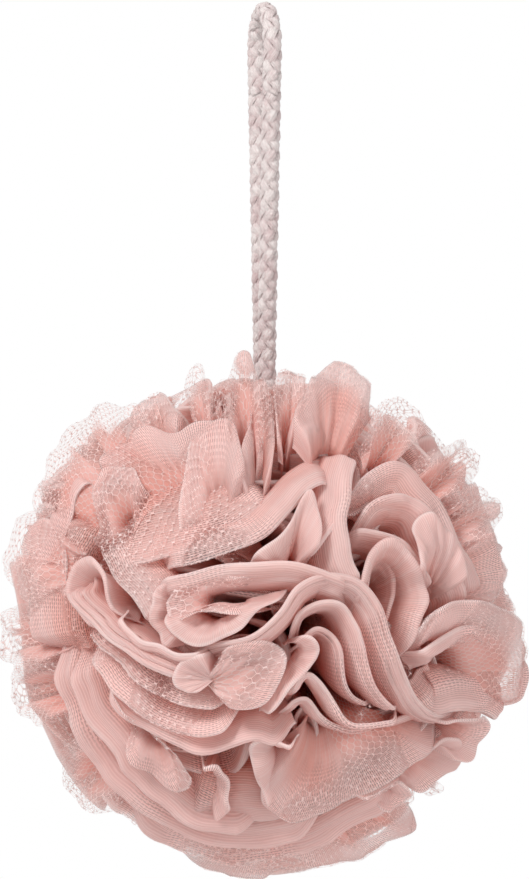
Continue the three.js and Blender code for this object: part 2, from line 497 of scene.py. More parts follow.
def make_knot():
    """The overhand knot that the two strands end in, pulled tight above the tie."""
    low, high = (np.array(c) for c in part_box("cord_knot"))
    middle, room = (low + high) / 2, float((high - low)[0]) / 2
    t = np.linspace(0, 2 * math.pi, 260)
    line = np.stack([
        np.sin(t) + 2 * np.sin(2 * t),
        np.cos(t) - 2 * np.cos(2 * t),
        -1.15 * np.sin(3 * t),
    ], -1) / 3 * (room * 0.66) + middle
    at = np.concatenate([[0], np.cumsum(np.linalg.norm(np.diff(line, axis=0), axis=1))])
    cotton = bpy.data.materials["braided_cotton"]
    piece = braided_mesh("cord_knot_braid", line, at, frames_along(line, (0, 0, 1)),
                         CORD_DIAMETER * 0.72, BRAID_PITCH * 0.7, BRAID_PLAITS, cotton)
    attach(piece, "pouf")
    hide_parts("cord_knot")


def make_tie():
    """The twine round the netting's waist: three plies laid round a ring."""
    low, high = (np.array(c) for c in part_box("waist_tie"))
    middle = (low + high) / 2
    thick = float(high[0] - low[0])
    ring = float(high[2] - low[2]) / 2 - thick / 2
    t = np.linspace(0, 2 * math.pi, 300, endpoint=False)
    ply = thick * 0.25
    points, faces, uv, count = [], [], [], 0
    around = np.linspace(0, 2 * math.pi, 10, endpoint=False)
    out = np.stack([0 * t, np.cos(t), np.sin(t)], -1)
    for k in range(3):
        twist = 14 * t + 2 * math.pi * k / 3
        centre = out * (ring + ply * np.cos(twist))[:, None]
        centre[:, 0] += ply * np.sin(twist)
        along = unit(np.roll(centre, -1, 0) - np.roll(centre, 1, 0))
        across = unit(np.cross(along, out))
        up = np.cross(across, along)
        section = centre[:, None] + ply * (
            np.cos(around)[None, :, None] * across[:, None] + np.sin(around)[None, :, None] * up[:, None])
        points.append(section.reshape(-1, 3))
        quads = np.array(grid_faces(len(t) + 1, len(around), True))
        faces += ((quads % (len(t) * len(around))) + count).tolist()
        count += len(t) * len(around)
        u, v = np.meshgrid(t * ring, around * ply, indexing="ij")
        uv.append(np.stack([u, v], -1).reshape(-1, 2))
    piece = new_object("waist_tie_twine", np.concatenate(points) + middle, faces)
    set_map(piece, "yarn", np.concatenate(uv))
    set_values(piece, "tone_and_painted_shade", np.zeros(count))
    twine = cotton_material("twine_cotton", (0.83, 0.72, 0.68, 1), (0.70, 0.55, 0.52, 1))
    piece.data.materials.append(twine)
    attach(piece, "pouf")
    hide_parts("waist_tie")


make_cord()
make_knot()
make_tie()


# -------- netting

class Flow:
    """A smooth swirl over the ball of directions, from whirls at chosen places and soft chance."""

    def __init__(self, whirls, waves, strength, seed):
        rng = np.random.default_rng(seed)
        self.whirls = whirls
        self.k = unit(rng.normal(size=(waves, 3))) * rng.uniform(4.0, 9.0, (waves, 1))
        self.phase = rng.uniform(0, 2 * math.pi, waves)
        self.size = strength * rng.uniform(0.5, 1.0, waves) / np.linalg.norm(self.k, axis=1)

    def speed(self, d):
        flat = d.reshape(-1, 3)
        gradient = (-np.sin(flat @ self.k.T + self.phase) * self.size) @ self.k
        for centre, spin, width in self.whirls:
            near = np.exp((flat @ centre - 1) / width ** 2)
            gradient = gradient + (spin * near)[:, None] * centre
        return np.cross(flat, gradient).reshape(d.shape)

    def carry(self, d, amount, steps=4):
        for _ in range(steps):
            half = unit(d + self.speed(d) * (amount / steps / 2))
            d = unit(d + self.speed(half) * (amount / steps))
        return d


def facing(x, z, back=False):
    """The direction seen at x, z on the ball's front, in ball radii, or behind it."""
    y = math.sqrt(max(0.0, 1 - x * x - z * z))
    return unit(np.array([x, y if back else -y, z]))


def whirl(x, z, spin, width, back=False):
    """One whirl of folds: spin in radians, clockwise from the front, and its width in radians."""
    return facing(x, z, back), spin, width


def jet(x, z, angle, push, gap, back=False):
    """Two whirls side by side that draw the folds between them into nested arches."""
    side_x = gap * math.cos(angle)
    side_z = -gap * math.sin(angle)
    return [
        whirl(x - side_x, z - side_z, -push, gap, back),
        whirl(x + side_x, z + side_z, push, gap, back),
    ]


CORE = 13 * MM  # the netting starts this far from the ball's middle, clear of the tie and knot
CORD_ROOM = 6.6 * MM  # the cord's channel through the netting
LEVELS = 22  # rows of points from the core to a page's rim
AROUND = 230  # points along a page's rim
PAGES_PER_SLEEVE = 10
FLOW_AMOUNT = 1.0
FRILL_DEPTH = 2.2 * MM
OPEN_THROUGH = 0.87  # cloth more open than this has open cells in both layers
PALE_RIM_AND_HIGHLIGHT = (0.5 * MM, 1.6 * MM)  # the rim's pale thread and its painted highlight end between these depths into the cloth
CREASE_SHADE_DEPTHS = (3 * MM, 20 * MM)  # painted shade: the cloth turns darker and warmer between these depths into the fold


def spread_for_cord(points):
    """Opens the netting round the upright cord, as folds lie against it on both sides."""
    out = points.copy()
    across = np.hypot(points[..., 0], points[..., 1])
    room = CORD_ROOM * smoothstep(points[..., 2], 0.0, 12 * MM)
    wide = (across ** 3 + room ** 3) ** (1 / 3)
    out[..., 0] *= wide / np.maximum(across, 1e-9)
    out[..., 1] *= wide / np.maximum(across, 1e-9)
    return out


def page_directions(turn, lean, count, end):
    """Directions along one page's rim, from near the -X end to near the +X end of the bundle."""
    along = np.linspace(end, math.pi - end, count)
    angle = turn + lean * np.sin(along * 2)
    return np.stack([-np.cos(along), np.sin(along) * np.cos(angle), np.sin(along) * np.sin(angle)], -1)


def both_layers(up, down):
    """Rows up one layer of a flattened tube to its rim, and back down the other."""
    return np.concatenate([up, down[::-1][1:]])


class Cloth:
    """Collects sheets of netting into one mesh with its cloth map and attributes."""

    def __init__(self, patchiness, crease_shade_weight, shade_from):
        self.points, self.faces, self.uv, self.stretch, self.openness = [], [], [], [], []
        self.edge, self.crease_shade = [], []
        self.patchiness = patchiness
        self.crease_shade_weight = crease_shade_weight
        self.shade_from = shade_from
        self.count = 0
        self.patches = smooth_field(21, low=10, high=32)
        self.tones = smooth_field(22)

    def add(self, levels, thickness, openness, ribs_along=False):
        """A flattened tube whose folded edge is the sheet's last level."""
        rows, columns, _ = levels.shape
        along = np.gradient(levels, axis=1)
        out = np.gradient(levels, axis=0)
        normal = unit(np.cross(along, out) + 1e-12)
        t = np.linspace(0, 1, rows)[:, None]
        bell = np.where(t < 0.7, 0.35 + 0.65 * smoothstep(t, 0, 0.7), 1.0)
        cap = np.sqrt(np.clip(1 - (np.clip(t - 0.86, 0, 1) / 0.14) ** 2, 0, 1))
        half = thickness[None, :] * bell * cap / 2
        side_a = levels + normal * half[..., None]
        side_b = levels - normal * half[..., None]
        grid = both_layers(side_a, side_b)
        step = np.linalg.norm(np.diff(levels[-3], axis=0), axis=1)
        rest = np.concatenate([[0], np.cumsum(step)])
        rise = np.linalg.norm(np.diff(grid, axis=0), axis=2).mean(axis=1)
        deep = np.concatenate([[0], np.cumsum(rise)])
        u, v = np.meshgrid(rest, deep)
        local = np.linalg.norm(np.gradient(grid, axis=1), axis=2)
        ratio = local / np.maximum(np.gradient(rest)[None, :], 1e-9)
        outward = (normal * unit(levels)).sum(-1).mean() > 0
        inner = np.where(openness > OPEN_THROUGH, openness, openness * 0.4)
        sides = (openness, inner) if outward else (inner, openness)
        openness = both_layers(*sides)
        if ribs_along:
            u, v, ratio = v, u, np.ones_like(ratio)
        steps = np.linalg.norm(np.diff(levels, axis=0), axis=2)[::-1]
        from_rim = np.concatenate([np.zeros((1, columns)), np.cumsum(steps, axis=0)])[::-1]
        edge = 1 - smoothstep(from_rim, *PALE_RIM_AND_HIGHLIGHT)
        # painted shade, growing deeper into the fold from its rim
        crease_shade = smoothstep(from_rim, *CREASE_SHADE_DEPTHS)
        self.crease_shade.append(both_layers(crease_shade, crease_shade).reshape(-1))
        self.edge.append(both_layers(edge, edge).reshape(-1))
        self.faces += grid_faces(grid.shape[0], columns, offset=self.count)
        self.points.append(grid.reshape(-1, 3))
        self.uv.append(np.stack([u, v], -1).reshape(-1, 2))
        self.stretch.append(ratio.reshape(-1))
        self.openness.append(openness.reshape(-1))
        self.count += grid.shape[0] * columns

    def build(self, name, material):
        points = np.concatenate(self.points) + CENTRE
        obj = new_object(name, points, self.faces)
        set_map(obj, "cloth", np.concatenate(self.uv))
        open_share = np.concatenate(self.openness) + (self.patches(points) - 0.5) * self.patchiness
        # painted shade: the tone grows darker towards the ball's middle and deeper into each fold from its
        # rim; the smooth field is the cloth's own random tone
        depth = 1 - np.linalg.norm(points - CENTRE, axis=1) / RADIUS
        tone_and_painted_shade = 0.25 * self.tones(points) + self.crease_shade_weight * np.concatenate(self.crease_shade)
        tone_and_painted_shade = tone_and_painted_shade + 3.5 * (depth - self.shade_from)
        set_values(obj, "stretch", np.concatenate(self.stretch))
        set_values(obj, "openness", open_share)
        set_values(obj, "tone_and_painted_shade", np.clip(tone_and_painted_shade, 0, 1))
        set_values(obj, "edge", np.concatenate(self.edge))
        obj.data.materials.append(material)
        return obj


FLOW = Flow(
    whirls=[
        *jet(0.45, 0.10, 0.15, 3.2, 0.16),
        *jet(0.20, -0.12, -0.5, 2.4, 0.13),
        whirl(-0.15, -0.18, -1.6, 0.20),
        whirl(-0.45, 0.35, 1.2, 0.25),
        whirl(-0.5, 0.3, 2.0, 0.35, back=True),
        whirl(0.5, -0.3, -2.0, 0.35, back=True),
        *jet(0.0, 0.2, 0.4, 2.6, 0.18, back=True),
    ],
    waves=22,
    strength=0.26,
    seed=5,
)


def smooth_field(seed, waves=14, low=12.0, high=40.0):
    """A smooth field through space, from 0 to 1, that varies over a few centimetres."""
    rng = np.random.default_rng(seed)
    k = unit(rng.normal(size=(waves, 3))) * rng.uniform(low, high, (waves, 1)) / (10 * MM) / 10
    phase = rng.uniform(0, 2 * math.pi, waves)

    def field(points):
        total = np.cos(points @ k.T + phase).sum(axis=-1)
        return np.clip(0.5 + total / math.sqrt(waves) * 0.5, 0, 1)

    return field


HOLLOWS = [  # x, z, width and depth, in ball radii
    (0.47, 0.12, 0.10, 0.45),
    (0.20, -0.04, 0.08, 0.35),
    (-0.50, 0.00, 0.07, 0.15),
    (-0.02, -0.42, 0.10, 0.30),
    (0.07, 0.75, 0.06, 0.20),
]


def room_for_petals(directions):
    """How far out the pages reach: less over the front, and least in its hollows."""
    front = smoothstep(-directions[..., 1], -0.1, 0.35)
    share = (1 - 0.08 * front) * (1 - 0.10 * smoothstep(directions[..., 2], 0.45, 0.95))
    for x, z, width, depth in HOLLOWS:
        near = np.exp((directions @ facing(x, z) - 1) / width ** 2 * 2)
        share = share * (1 - depth * near)
    return share


def page_sheet(turn, rng):
    """One page of the gathered tube: a fan from the core, swirled and frilled towards its rim."""
    u = np.linspace(0, 1, AROUND)
    base = page_directions(turn, 0.05 * rng.normal(), AROUND, 0.12 + 0.22 * rng.random())
    wave = sum(
        rng.normal() * np.cos(2 * math.pi * k * u + rng.uniform(0, 2 * math.pi)) / k for k in range(1, 9)
    )
    ends = smoothstep(u, 0, 0.10) * smoothstep(1 - u, 0, 0.10)
    rim = RADIUS * (0.94 + 0.05 * wave / 1.5) * (0.55 + 0.45 * ends)
    rim = np.minimum(rim, RADIUS)
    levels = []
    directions = base
    done = 0.0
    climb = 1 - (1 - np.linspace(0, 1, LEVELS)) ** 1.5
    for t in climb:
        goal = FLOW_AMOUNT * t ** 1.4
        if goal > done:
            directions = FLOW.carry(directions, goal - done, 2)
            done = goal
        radius = CORE + (rim * room_for_petals(directions) - CORE) * t
        levels.append(directions * radius[:, None])
    levels = np.array(levels)
    t = climb[:, None]
    phase = rng.uniform(0, 2 * math.pi)
    frill = np.sin(2 * math.pi * u * rng.uniform(4, 8) + phase + 1.5 * wave)
    normal = unit(np.cross(np.gradient(levels, axis=1), np.gradient(levels, axis=0)) + 1e-12)
    size = FRILL_DEPTH * t ** 2.2 * (0.5 + 0.5 * np.sin(3 * wave))
    levels = levels + normal * (size * frill)[..., None]
    return spread_for_cord(levels), wave, t


def make_sleeves():
    looks = [
        # each sleeve's cloth colour, then the darker red of the painted shade deep in its folds
        ("netting_sleeve_1", (0.890, 0.625, 0.585, 1), (0.84, 0.34, 0.25, 1)),
        ("netting_sleeve_2", (0.875, 0.600, 0.560, 1), (0.83, 0.33, 0.24, 1)),
        ("netting_sleeve_3", (0.890, 0.632, 0.592, 1), (0.84, 0.34, 0.25, 1)),
        ("netting_sleeve_4", (0.875, 0.595, 0.550, 1), (0.83, 0.33, 0.24, 1)),
    ]
    for index, (node, colour, deep) in enumerate(looks):
        rng = np.random.default_rng(100 + index)
        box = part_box(node)
        middle = (np.array(box[0]) + np.array(box[1])) / 2 - CENTRE
        centre_turn = math.atan2(middle[2], middle[1])
        cloth = Cloth(patchiness=1.0, crease_shade_weight=0.20, shade_from=0.13)
        for page in range(PAGES_PER_SLEEVE):
            turn = centre_turn + (page + 0.5 - PAGES_PER_SLEEVE / 2) * (math.pi / 2) / PAGES_PER_SLEEVE
            levels, wave, t = page_sheet(turn, rng)
            thickness = (1.2 + 1.6 * smoothstep(np.sin(2.3 * wave + page), -0.5, 1)) * MM
            openness = np.clip(0.25 + 0.5 * rng.random() + 0.15 * wave[None, :], 0, 1) * (0.3 + 0.7 * t)
            cloth.add(levels, thickness, openness, ribs_along=page % 3 > 0)
        material = net_material(node + "_net", colour, deep)
        piece = cloth.build(node + "_folds", material)
        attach(piece, "pouf")
        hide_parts(node)


make_sleeves()


# -------- petals over the front

PETAL_COLUMNS = 84
PETAL_ROWS = 26
HIDDEN_ROWS = 0.25  # the share of a petal's rows that stay between the pages
CREASE_DEPTH = 1.1 * MM


def band(rim, width, high=0.98, low=0.84, opened=0.2, lines=3, thick=2.0):
    """A long fold. Its rim runs through points in ball radii, and its cloth lies to the rim's left."""
    return dict(rim=rim, width=width, towards=None, high=high, low=low,
                opened=opened, lines=lines, thick=thick, pleats=0.25)


def petal(rim, towards, reach=0.6, high=0.98, low=0.84, opened=0.35, lines=0, thick=1.6, pleats=0.7):
    """A rounded fold whose cloth gathers from its rim towards one point."""
    return dict(rim=rim, width=0, towards=towards, reach=reach, high=high, low=low,
                opened=opened, lines=lines, thick=thick, pleats=pleats)


UPPER_PETALS = [
    # arches round the dark hollow, from the outermost in
    band([(0.85, 0.02), (0.8, 0.18), (0.72, 0.36), (0.63, 0.49), (0.54, 0.57), (0.44, 0.57), (0.36, 0.52),
          (0.32, 0.42)], 0.13, 0.96, 0.86, 0.42, 2),
    band([(0.8, 0.0), (0.75, 0.12), (0.7, 0.25), (0.64, 0.37), (0.56, 0.44), (0.48, 0.46), (0.4, 0.42),
          (0.34, 0.33)], 0.09, 0.97, 0.82, 0.15, 3),
    band([(0.66, 0.08), (0.61, 0.19), (0.54, 0.28), (0.46, 0.32), (0.38, 0.33), (0.31, 0.32)],
         0.07, 0.95, 0.8, 0.1, 2),
    petal([(0.58, 0.12), (0.55, 0.23), (0.54, 0.32), (0.6, 0.38), (0.66, 0.33), (0.71, 0.21), (0.74, 0.08)],
          (0.66, 0.06), 0.75, 1.0, 0.9, 0.25),
    petal([(0.35, -0.02), (0.35, 0.12), (0.39, 0.24), (0.46, 0.29), (0.53, 0.26), (0.58, 0.17), (0.6, 0.07),
           (0.56, -0.03), (0.53, -0.13), (0.53, -0.22)], (0.47, 0.06), 0.5, 0.99, 0.7, 0.05, 5, 2.4, 0.1),
    petal([(0.4, -0.02), (0.4, 0.1), (0.42, 0.2), (0.47, 0.24), (0.52, 0.19), (0.53, 0.1), (0.5, 0.01),
           (0.47, -0.08), (0.48, -0.2)], (0.47, 0.05), 0.5, 0.92, 0.62, 0.05, 4, 2.2, 0.1),
    # the leaves left of the hollow
    band([(0.37, 0.1), (0.33, 0.18), (0.315, 0.28), (0.31, 0.4), (0.32, 0.5), (0.37, 0.62)],
         0.14, 0.99, 0.86, 0.15, 2),
    petal([(-0.07, 0.18), (0.01, 0.27), (0.09, 0.35), (0.165, 0.46), (0.2, 0.38), (0.2, 0.29),
           (0.15, 0.21)], (0.08, 0.16), 0.7, 1.0, 0.9, 0.2),
    band([(0.3, 0.52), (0.29, 0.41), (0.25, 0.31), (0.19, 0.24), (0.13, 0.21)], -0.08, 0.97, 0.84, 0.2, 2),
    band([(-0.44, 0.12), (-0.3, 0.165), (-0.14, 0.19), (0.05, 0.2), (0.2, 0.17), (0.36, 0.12)],
         -0.09, 1.0, 0.88, 0.05, 2),
    band([(0.3, 0.53), (0.18, 0.47), (0.09, 0.38), (-0.01, 0.29), (-0.13, 0.23), (-0.28, 0.2),
          (-0.42, 0.18)], -0.14, 0.97, 0.87, 0.3, 2),
    # flat open netting at the upper left
    band([(0.1, 0.44), (-0.05, 0.33), (-0.2, 0.26), (-0.38, 0.22), (-0.52, 0.2), (-0.66, 0.3)],
         -0.34, 0.94, 0.88, 0.85, 0, 1.2),
    band([(-0.66, 0.31), (-0.59, 0.19), (-0.51, 0.07), (-0.43, -0.05)], 0.17, 0.96, 0.88, 0.76, 1, 1.2),
    petal([(-0.34, 0.28), (-0.32, 0.44), (-0.29, 0.58), (-0.22, 0.7), (-0.12, 0.72), (-0.07, 0.6),
           (-0.08, 0.46)], (-0.18, 0.36), 0.7, 0.98, 0.88, 0.66),
    petal([(-0.64, 0.5), (-0.62, 0.6), (-0.55, 0.68), (-0.44, 0.71), (-0.33, 0.69), (-0.22, 0.73),
           (-0.06, 0.72)], (-0.2, 0.4), 0.6, 0.97, 0.88, 0.66, 0, 1.4, 0.5),
    petal([(-0.86, 0.3), (-0.86, 0.45), (-0.8, 0.58), (-0.71, 0.69), (-0.6, 0.76), (-0.5, 0.78),
           (-0.42, 0.81)], (-0.48, 0.4), 0.5, 1.0, 0.9, 0.95, 0, 1.0, 0.3),
    petal([(-0.84, 0.02), (-0.93, 0.1), (-0.97, 0.22), (-0.95, 0.33), (-0.86, 0.42)],
          (-0.6, 0.2), 0.4, 1.0, 0.9, 1.0, 0, 1.0, 0.3),
    band([(-0.86, -0.16), (-0.885, 0.0), (-0.875, 0.15), (-0.84, 0.3), (-0.78, 0.44)],
         -0.15, 0.975, 0.9, 0.3, 0),
    petal([(-0.76, 0.36), (-0.86, 0.32), (-0.91, 0.2), (-0.9, 0.06), (-0.82, 0.0)],
          (-0.68, 0.18), 0.7, 1.0, 0.92, 0.7, 0, 1.2, 0.4),
    petal([(-0.7, 0.26), (-0.64, 0.35), (-0.66, 0.47), (-0.6, 0.56), (-0.5, 0.55), (-0.44, 0.46)],
          (-0.52, 0.3), 0.6, 0.96, 0.88, 0.6),
    band([(-0.72, 0.02), (-0.76, 0.14), (-0.76, 0.28), (-0.72, 0.42), (-0.64, 0.54)],
         0.12, 0.96, 0.86, 0.4, 2),
    # the top, either side of the cord
    petal([(0.12, 0.66), (0.13, 0.8), (0.19, 0.9), (0.27, 0.93), (0.35, 0.88), (0.43, 0.79)],
          (0.24, 0.5), 0.6, 1.0, 0.9, 0.52, 0, 1.6, 0.8),
    petal([(0.045, 0.62), (0.04, 0.78), (0.06, 0.88), (0.1, 0.92), (0.145, 0.89), (0.14, 0.8),
           (0.09, 0.68)], (0.09, 0.6), 0.6, 1.0, 0.88, 0.6, 0, 1.6, 0.5),
    petal([(-0.01, 0.56), (-0.01, 0.74), (-0.025, 0.89), (-0.06, 0.96), (-0.11, 0.95), (-0.14, 0.84),
           (-0.13, 0.7), (-0.11, 0.6)], (-0.06, 0.5), 0.55, 1.0, 0.88, 0.88, 0, 1.4, 0.4),
    petal([(-0.11, 0.46), (-0.09, 0.6), (-0.06, 0.75), (-0.02, 0.87), (0.025, 0.8), (0.04, 0.66),
           (0.03, 0.5)], (-0.03, 0.4), 0.6, 0.97, 0.88, 0.62),
    petal([(-0.1, 0.78), (-0.13, 0.87), (-0.18, 0.85), (-0.21, 0.8)],
          (-0.14, 0.6), 0.6, 0.99, 0.88, 0.95),
    petal([(-0.19, 0.76), (-0.2, 0.86), (-0.24, 0.92), (-0.28, 0.88), (-0.28, 0.76)],
          (-0.22, 0.55), 0.6, 0.99, 0.88, 0.95),
    petal([(-0.3, 0.76), (-0.36, 0.8), (-0.42, 0.83), (-0.5, 0.78), (-0.54, 0.72)],
          (-0.36, 0.55), 0.6, 0.97, 0.88, 0.8),
    petal([(0.38, 0.66), (0.43, 0.77), (0.5, 0.8), (0.57, 0.76), (0.58, 0.68), (0.53, 0.62)],
          (0.42, 0.52), 0.6, 1.0, 0.88, 0.95),
    petal([(0.56, 0.58), (0.66, 0.61), (0.78, 0.62), (0.82, 0.56), (0.78, 0.48), (0.72, 0.42)],
          (0.54, 0.42), 0.6, 1.0, 0.88, 0.9),
    petal([(0.72, 0.46), (0.82, 0.46), (0.88, 0.4), (0.88, 0.31), (0.82, 0.24)],
          (0.62, 0.28), 0.5, 1.0, 0.88, 1.0),
    petal([(0.8, 0.3), (0.87, 0.3), (0.9, 0.2), (0.89, 0.09), (0.84, 0.0)],
          (0.66, 0.12), 0.5, 0.99, 0.86, 0.85),
]

LOWER_PETALS = [
    # the loop at the left, and the bundle and bow right of it
    band([(-0.73, 0.14), (-0.71, 0.06), (-0.63, -0.04), (-0.53, -0.12), (-0.42, -0.19), (-0.3, -0.225),
          (-0.2, -0.2)], 0.07, 0.99, 0.93, 0.1, 4, 2.4),
    petal([(-0.59, -0.1), (-0.67, 0.0), (-0.72, 0.1), (-0.71, 0.19), (-0.65, 0.22), (-0.6, 0.16),
           (-0.56, 0.06), (-0.5, -0.04)], (-0.61, 0.06), 0.6, 1.0, 0.7, 0.05, 2, 2.0, 0.1),
    band([(-0.21, -0.11), (-0.31, -0.13), (-0.4, -0.1), (-0.47, -0.06), (-0.54, 0.02)],
         0.06, 1.0, 0.88, 0.05, 2, 2.0),
    petal([(-0.34, 0.16), (-0.42, 0.09), (-0.43, -0.01), (-0.39, -0.1), (-0.33, -0.13)],
          (-0.26, 0.02), 0.5, 0.97, 0.84, 0.15, 2),
    petal([(0.04, 0.03), (-0.12, 0.0), (-0.25, 0.01), (-0.34, -0.01), (-0.37, 0.05), (-0.32, 0.11),
           (-0.2, 0.145), (-0.05, 0.155), (0.1, 0.165)],
          (-0.14, 0.08), 0.6, 0.98, 0.9, 0.84, 0, 1.4, 0.3),
    petal([(-0.37, 0.05), (-0.36, -0.03), (-0.31, -0.1), (-0.21, -0.1), (-0.1, -0.05), (0.0, 0.03),
           (0.09, 0.11)], (-0.18, 0.04), 0.6, 1.0, 0.9, 0.1, 2),
    petal([(-0.2, -0.17), (-0.14, -0.1), (-0.02, -0.09), (0.07, -0.14), (0.06, -0.24), (0.0, -0.32),
           (-0.1, -0.345), (-0.2, -0.31)], (-0.22, -0.25), 0.93, 0.985, 0.955, 0.78, 0, 1.4, 0.5),
    petal([(-0.19, -0.12), (-0.25, -0.13), (-0.31, -0.18), (-0.32, -0.25), (-0.27, -0.285), (-0.2, -0.27)],
          (-0.19, -0.235), 0.93, 0.99, 0.96, 0.2, 0, 1.6, 0.4),
    # nested arches under the big band
    band([(0.8, -0.34), (0.66, -0.365), (0.58, -0.32), (0.52, -0.21), (0.47, -0.08), (0.41, 0.05),
          (0.33, 0.13), (0.22, 0.15), (0.12, 0.11), (0.05, 0.02), (-0.05, -0.06), (-0.18, -0.09),
          (-0.28, -0.13)],
         0.075, 1.0, 0.86, 0.08, 4, 2.4),
    band([(0.56, -0.37), (0.49, -0.34), (0.43, -0.27), (0.38, -0.15), (0.34, -0.03), (0.28, 0.05),
          (0.2, 0.06), (0.13, 0.01), (0.1, -0.1)], 0.05, 0.97, 0.8, 0.05, 3, 2.2),
    band([(0.45, -0.38), (0.36, -0.32), (0.31, -0.2), (0.27, -0.08), (0.2, -0.04), (0.14, -0.08),
          (0.11, -0.16)], 0.045, 0.93, 0.76, 0.05, 3, 2.2),
    petal([(0.1, -0.08), (0.16, -0.07), (0.2, -0.12), (0.18, -0.18), (0.12, -0.24), (0.06, -0.32),
           (-0.03, -0.39)], (0.04, -0.16), 0.4, 0.97, 0.88, 0.3, 1),
    band([(0.56, -0.385), (0.43, -0.41), (0.33, -0.4), (0.27, -0.33), (0.22, -0.24), (0.16, -0.215),
          (0.06, -0.32)], 0.055, 0.96, 0.82, 0.12, 2),
    band([(0.76, -0.37), (0.6, -0.385), (0.45, -0.425), (0.32, -0.44), (0.22, -0.39), (0.16, -0.32),
          (0.1, -0.33), (0.05, -0.43)], 0.06, 0.93, 0.8, 0.2, 2),
    # the large petal at the right
    petal([(0.52, -0.12), (0.57, -0.01), (0.7, 0.04), (0.84, 0.04), (0.93, -0.02), (0.975, -0.14),
           (0.965, -0.29), (0.93, -0.42)], (0.62, -0.24), 0.55, 1.02, 0.88, 0.6, 0, 1.6, 0.6),
    band([(0.92, -0.12), (0.84, -0.06), (0.72, -0.05), (0.61, -0.09), (0.53, -0.15)],
         0.09, 0.99, 0.9, 0.35, 2),
    band([(0.55, -0.29), (0.62, -0.37), (0.74, -0.365), (0.84, -0.39), (0.92, -0.43)],
         0.14, 0.98, 0.9, 0.4, 2),
    # the drape below the middle
    petal([(0.02, -0.56), (0.0, -0.7), (0.08, -0.79), (0.2, -0.77), (0.35, -0.69), (0.5, -0.61),
           (0.65, -0.52), (0.73, -0.45)], (0.26, -0.36), 0.7, 0.97, 0.84, 0.56, 0, 1.8, 0.6),
    petal([(0.14, -0.47), (0.04, -0.475), (-0.045, -0.48), (-0.035, -0.6), (-0.01, -0.69), (0.02, -0.76)],
          (0.1, -0.55), 0.6, 0.98, 0.88, 0.2),
    petal([(-0.26, -0.56), (-0.17, -0.57), (-0.13, -0.66), (-0.14, -0.74), (-0.22, -0.78)],
          (-0.24, -0.66), 0.6, 0.97, 0.86, 0.3),
    band([(-0.34, -0.78), (-0.18, -0.81), (0.0, -0.81), (0.14, -0.79), (0.28, -0.73)],
         0.16, 0.94, 0.84, 0.4, 2),
    # sweeps down the left and round the bottom
    band([(-0.72, -0.04), (-0.63, -0.1), (-0.54, -0.19), (-0.44, -0.28), (-0.33, -0.335), (-0.22, -0.35),
          (-0.12, -0.33)], 0.075, 0.97, 0.82, 0.82, 1),
    band([(-0.7, -0.13), (-0.6, -0.23), (-0.5, -0.33), (-0.4, -0.41), (-0.28, -0.445), (-0.16, -0.43),
          (-0.09, -0.37)], 0.07, 0.985, 0.8, 0.74, 1),
    band([(-0.64, -0.25), (-0.55, -0.36), (-0.44, -0.45), (-0.32, -0.5), (-0.2, -0.51), (-0.1, -0.49),
          (-0.04, -0.475), (0.04, -0.485), (0.13, -0.44)], 0.07, 0.975, 0.78, 0.15, 2),
    petal([(-0.68, -0.24), (-0.6, -0.28), (-0.51, -0.37), (-0.41, -0.48), (-0.3, -0.55), (-0.26, -0.63),
           (-0.31, -0.68), (-0.4, -0.64), (-0.5, -0.54), (-0.6, -0.42)],
          (-0.46, -0.46), 0.7, 0.97, 0.9, 0.78),
    band([(-0.77, -0.14), (-0.71, -0.29), (-0.63, -0.44), (-0.52, -0.58), (-0.42, -0.68), (-0.3, -0.77),
          (-0.16, -0.81), (0.02, -0.81)], 0.075, 0.99, 0.78, 0.25, 3),
    band([(-0.83, -0.08), (-0.78, -0.26), (-0.71, -0.42), (-0.61, -0.58), (-0.49, -0.7), (-0.36, -0.8),
          (-0.21, -0.86), (-0.04, -0.88), (0.12, -0.85), (0.28, -0.76)], 0.07, 0.99, 0.78, 0.2, 3),
    band([(-0.57, -0.71), (-0.46, -0.81), (-0.33, -0.89), (-0.17, -0.95), (0.0, -0.94), (0.18, -0.88),
          (0.36, -0.79), (0.56, -0.69)], 0.075, 0.99, 0.8, 0.3, 3),
    petal([(-0.4, -0.89), (-0.22, -0.965), (-0.05, -0.99), (0.15, -0.965), (0.35, -0.92), (0.52, -0.85),
           (0.58, -0.79), (0.54, -0.71)], (0.08, -0.7), 0.4, 1.0, 0.9, 0.85, 0, 1.2, 0.4),
    petal([(-0.66, -0.44), (-0.74, -0.5), (-0.75, -0.62), (-0.69, -0.72), (-0.58, -0.76), (-0.5, -0.7)],
          (-0.56, -0.54), 0.5, 1.0, 0.88, 0.9),
    petal([(-0.76, -0.2), (-0.86, -0.18), (-0.95, -0.22), (-0.95, -0.32), (-0.88, -0.42), (-0.78, -0.42)],
          (-0.7, -0.3), 0.5, 1.0, 0.88, 0.95),
    petal([(-0.82, 0.06), (-0.93, 0.02), (-0.99, -0.05), (-0.98, -0.16), (-0.9, -0.22), (-0.8, -0.18)],
          (-0.72, -0.06), 0.5, 1.0, 0.88, 0.95),
    # stepped tips at the lower right
    petal([(0.44, -0.58), (0.56, -0.57), (0.66, -0.5), (0.735, -0.47), (0.75, -0.54), (0.68, -0.64),
           (0.61, -0.7), (0.52, -0.68)], (0.56, -0.6), 0.5, 0.96, 0.86, 0.35),
    petal([(0.3, -0.7), (0.4, -0.65), (0.52, -0.64), (0.58, -0.7), (0.5, -0.73), (0.38, -0.72)],
          (0.44, -0.69), 0.6, 0.98, 0.9, 0.5),
    petal([(0.62, -0.4), (0.72, -0.39), (0.82, -0.4), (0.81, -0.47), (0.74, -0.55), (0.66, -0.56)],
          (0.66, -0.46), 0.5, 1.0, 0.88, 0.6),
]


